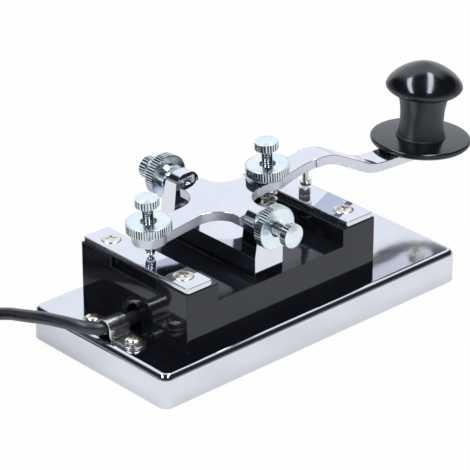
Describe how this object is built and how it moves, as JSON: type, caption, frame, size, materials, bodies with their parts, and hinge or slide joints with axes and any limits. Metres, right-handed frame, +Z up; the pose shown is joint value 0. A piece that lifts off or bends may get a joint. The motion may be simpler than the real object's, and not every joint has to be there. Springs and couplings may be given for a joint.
{
  "type": "telegraph key",
  "caption": "Straight Morse telegraph key: sprung lever on pivot screws over a black body and plated base, with a round finger knob, thumb screws and a cord with plug.",
  "frame": {"origin": "centre of the underside, on the table under the middle of the base plate", "axes": "+X along the lever towards the knob, +Y across the key, +Z up"},
  "size_m": [0.2448, 0.1266, 0.0694],
  "materials": {
    "base_chrome": "polished plating",
    "part_chrome": "polished plating",
    "body_black": "gloss moulding",
    "pad_rubber": "matt foam rubber",
    "screw_steel": "nickel plated",
    "zinc_steel": "bright zinc plated",
    "spring_wire": "nickel plated wire",
    "contact_metal": "turned, silver faced",
    "lug_brass": "tinned brass",
    "wire_red": "insulated wire",
    "wire_blue": "insulated wire",
    "clamp_steel": "nickel plated strip",
    "knob_black": "gloss moulding",
    "cord_sheath": "satin sheath",
    "tie_strap": "woven strap",
    "plug_black": "moulded",
    "plug_metal": "nickel plated"
  },
  "bodies": {
    "frame": {"base_plate": "base_chrome", "base_pad": "pad_rubber", "body_block": "body_black", "body_screws": "screw_steel", "rear_plate": "part_chrome", "front_plate": "part_chrome", "rear_plate_screws": "screw_steel", "front_plate_screws": "screw_steel", "yoke": "part_chrome", "yoke_screws": "screw_steel", "yoke_lug": "lug_brass", "yoke_wire": "wire_red", "lower_contact": "contact_metal", "contact_nut": "screw_steel", "contact_lug": "lug_brass", "contact_wire": "wire_blue", "cord_clamp": "clamp_steel", "clamp_screws": "screw_steel", "return_spring": "spring_wire", "cord": "cord_sheath", "cord_coil": "cord_sheath", "cord_tail": "cord_sheath", "coil_tie": "tie_strap", "plug_cover": "plug_black", "plug_sleeve": "plug_metal", "plug_ring": "plug_black", "plug_tip": "plug_metal"},
    "lever": {"lever": "part_chrome", "upper_contact": "contact_metal", "knob": "knob_black", "knob_skirt": "knob_black", "knob_screw": "screw_steel"},
    "stop_screw": {"stop_stud": "zinc_steel"},
    "stop_head": {"stop_thumb": "zinc_steel"},
    "stop_lock": {"stop_nut": "zinc_steel"},
    "tension_screw": {"tension_stud": "zinc_steel"},
    "tension_head": {"tension_thumb": "zinc_steel"},
    "tension_lock": {"tension_nut": "zinc_steel"},
    "near_screw": {"near_pivot_stud": "zinc_steel"},
    "near_head": {"near_pivot_thumb": "zinc_steel"},
    "near_lock": {"near_pivot_nut": "zinc_steel"},
    "far_screw": {"far_pivot_stud": "zinc_steel"},
    "far_head": {"far_pivot_thumb": "zinc_steel"},
    "far_lock": {"far_pivot_nut": "zinc_steel"}
  },
  "joints": [
    {"name": "lever_pivot", "type": "hinge", "parent": "frame", "child": "lever", "pos_m": [-0.013, 0, 0.0462], "axis": [0, 1, 0], "range_deg": [0, 1], "stiffness_Nm_per_rad": 0.6, "springref_deg": -6.88, "deforming": ["return_spring"]},
    {"name": "stop_advance", "type": "slide", "parent": "lever", "child": "stop_screw", "axis": [-0.0715, 0, 0.9974], "range_m": [0, 0.0015]},
    {"name": "stop_turn", "type": "hinge", "parent": "stop_screw", "child": "stop_head", "pos_m": [-0.04605, 0, 0.05546], "axis": [-0.0715, 0, 0.9974], "range_deg": [0, 772]},
    {"name": "stop_lock_turn", "type": "hinge", "parent": "lever", "child": "stop_lock", "pos_m": [-0.04534, 0, 0.04564], "axis": [-0.0715, 0, 0.9974], "range_deg": [0, 360]},
    {"name": "tension_advance", "type": "slide", "parent": "lever", "child": "tension_screw", "axis": [-0.0715, 0, 0.9974], "range_m": [0, 0.0015]},
    {"name": "tension_turn", "type": "hinge", "parent": "tension_screw", "child": "tension_head", "pos_m": [0.00841, 0, 0.05937], "axis": [-0.0715, 0, 0.9974], "range_deg": [0, 772]},
    {"name": "tension_lock_turn", "type": "hinge", "parent": "lever", "child": "tension_lock", "pos_m": [0.00912, 0, 0.04954], "axis": [-0.0715, 0, 0.9974], "range_deg": [0, 360]},
    {"name": "near_advance", "type": "slide", "parent": "frame", "child": "near_screw", "axis": [0, -1, 0], "range_m": [0, 0.001]},
    {"name": "near_turn", "type": "hinge", "parent": "near_screw", "child": "near_head", "pos_m": [-0.013, -0.035, 0.0462], "axis": [0, -1, 0], "range_deg": [0, 515]},
    {"name": "near_lock_turn", "type": "hinge", "parent": "frame", "child": "near_lock", "pos_m": [-0.013, -0.0265, 0.0462], "axis": [0, -1, 0], "range_deg": [0, 360]},
    {"name": "far_advance", "type": "slide", "parent": "frame", "child": "far_screw", "axis": [0, 1, 0], "range_m": [0, 0.001]},
    {"name": "far_turn", "type": "hinge", "parent": "far_screw", "child": "far_head", "pos_m": [-0.013, 0.0369, 0.0462], "axis": [0, 1, 0], "range_deg": [0, 515]},
    {"name": "far_lock_turn", "type": "hinge", "parent": "frame", "child": "far_lock", "pos_m": [-0.013, 0.0288, 0.0462], "axis": [0, 1, 0], "range_deg": [0, 360]}
  ],
  "couplings": [
    {"joint": "stop_turn", "follows": "stop_advance", "rad_per_m": 8976},
    {"joint": "tension_turn", "follows": "tension_advance", "rad_per_m": 8976},
    {"joint": "near_turn", "follows": "near_advance", "rad_per_m": 8976},
    {"joint": "far_turn", "follows": "far_advance", "rad_per_m": 8976}
  ]
}
